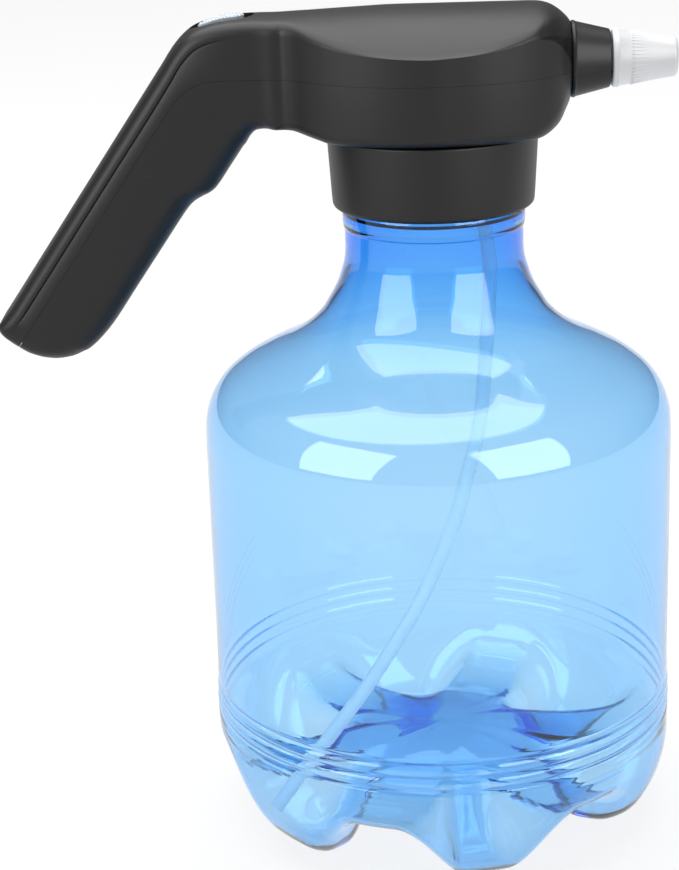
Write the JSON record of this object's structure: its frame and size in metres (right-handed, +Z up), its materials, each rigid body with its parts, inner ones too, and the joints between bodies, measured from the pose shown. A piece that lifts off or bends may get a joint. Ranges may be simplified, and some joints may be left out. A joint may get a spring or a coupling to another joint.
{
  "type": "battery spray bottle",
  "caption": "Clear carboy-shaped bottle under a screw-on battery pump head with a slanting handle, a thumb button and an adjustable nozzle.",
  "frame": {"origin": "on the plane the feet stand on, under the middle of the whole part; the bottle's axis stands 32.2 mm towards +X of it", "axes": "+Z up along the bottle's axis, +X the way the nozzle points, the handle slants down towards -X, +Y to the left of someone spraying"},
  "size_m": [0.2142, 0.1508, 0.267],
  "materials": {
    "blue_clear": "clear blue blow-moulded plastic, glossy",
    "housing_black": "satin black moulded plastic",
    "collar_black": "satin black moulded plastic",
    "nozzle_white": "white moulded plastic",
    "button_white": "milky white moulded plastic",
    "tube_milky": "translucent soft plastic tube",
    "fitting_white": "white moulded plastic",
    "pump_grey": "grey moulded plastic",
    "silicone": "clear silicone rubber",
    "black_rubber": "black rubber",
    "steel": "zinc-plated steel",
    "brass": "turned brass",
    "board_green": "green glass-fibre circuit board",
    "cell_wrap": "blue shrink wrap over a steel can",
    "wire_red": "red insulated wire",
    "wire_black": "black insulated wire"
  },
  "bodies": {
    "bottle": {"bottle": "blue_clear"},
    "head": {"battery_cell": "cell_wrap", "button_spring": "steel", "cell_tab_bottom": "steel", "cell_tab_top": "steel", "charge_board": "board_green", "charge_socket": "steel", "dip_tube": "tube_milky", "housing_screw_1": "steel", "housing_screw_2": "steel", "housing_screw_3": "steel", "housing_screw_4": "steel", "idler_pin": "steel", "inlet_fitting": "fitting_white", "inlet_hose": "silicone", "lower_housing": "housing_black", "motor_bush": "brass", "motor_can": "steel", "motor_end_cap": "fitting_white", "neck_flange": "housing_black", "neck_gasket": "black_rubber", "outlet_hose": "silicone", "outlet_sleeve": "housing_black", "outlet_stem": "fitting_white", "pump_body": "pump_grey", "pump_cover": "pump_grey", "pump_screw_1": "steel", "pump_screw_2": "steel", "shaft_seal": "black_rubber", "swirl_core": "fitting_white", "switch_board": "board_green", "switch_body": "pump_grey", "upper_housing": "housing_black", "wire_cell_minus": "wire_black", "wire_cell_plus": "wire_red", "wire_charge": "wire_red", "wire_motor_minus": "wire_black", "wire_motor_plus": "wire_red"},
    "collar": {"screw_collar": "collar_black"},
    "button": {"thumb_button": "button_white", "switch_plunger": "pump_grey"},
    "nozzle_carrier": {"nozzle_o_ring": "black_rubber"},
    "nozzle": {"nozzle_cap": "nozzle_white"},
    "rotor": {"motor_shaft": "steel", "drive_gear": "brass", "armature": "steel"},
    "idler": {"idler_gear": "fitting_white"},
    "port_plug": {"charge_plug": "black_rubber"}
  },
  "joints": [
    {"name": "head_rise", "type": "slide", "parent": "bottle", "child": "head", "axis": [0, 0, 1], "range_m": [0, 0.00787]},
    {"name": "collar_turn", "type": "hinge", "parent": "head", "child": "collar", "pos_m": [0.0322, 0, 0.217], "axis": [0, 0, 1], "range_deg": [0, 630]},
    {"name": "button_press", "type": "slide", "parent": "head", "child": "button", "axis": [0, 0, 1], "range_m": [-0.001, 0], "stiffness_N_per_m": 800, "springref_m": 0.0005, "deforming": ["button_spring"]},
    {"name": "nozzle_advance", "type": "slide", "parent": "head", "child": "nozzle_carrier", "axis": [1, 0, 0], "range_m": [0, 0.003]},
    {"name": "nozzle_turn", "type": "hinge", "parent": "nozzle_carrier", "child": "nozzle", "pos_m": [0.0972, 0, 0.2493], "axis": [1, 0, 0], "range_deg": [0, 541]},
    {"name": "motor_spin", "type": "hinge", "parent": "head", "child": "rotor", "pos_m": [0.0322, -0.0045, 0.2455], "axis": [1, 0, 0], "continuous": true},
    {"name": "idler_spin", "type": "hinge", "parent": "head", "child": "idler", "pos_m": [0.0447, 0.0045, 0.2455], "axis": [1, 0, 0], "continuous": true},
    {"name": "plug_pull", "type": "slide", "parent": "head", "child": "port_plug", "axis": [-0.5735, 0, -0.8192], "range_m": [0, 0.008]}
  ],
  "couplings": [
    {"joint": "collar_turn", "follows": "head_rise", "rad_per_m": 1396.3},
    {"joint": "nozzle_turn", "follows": "nozzle_advance", "rad_per_m": 3141.6},
    {"joint": "idler_spin", "follows": "motor_spin", "ratio": -1}
  ]
}
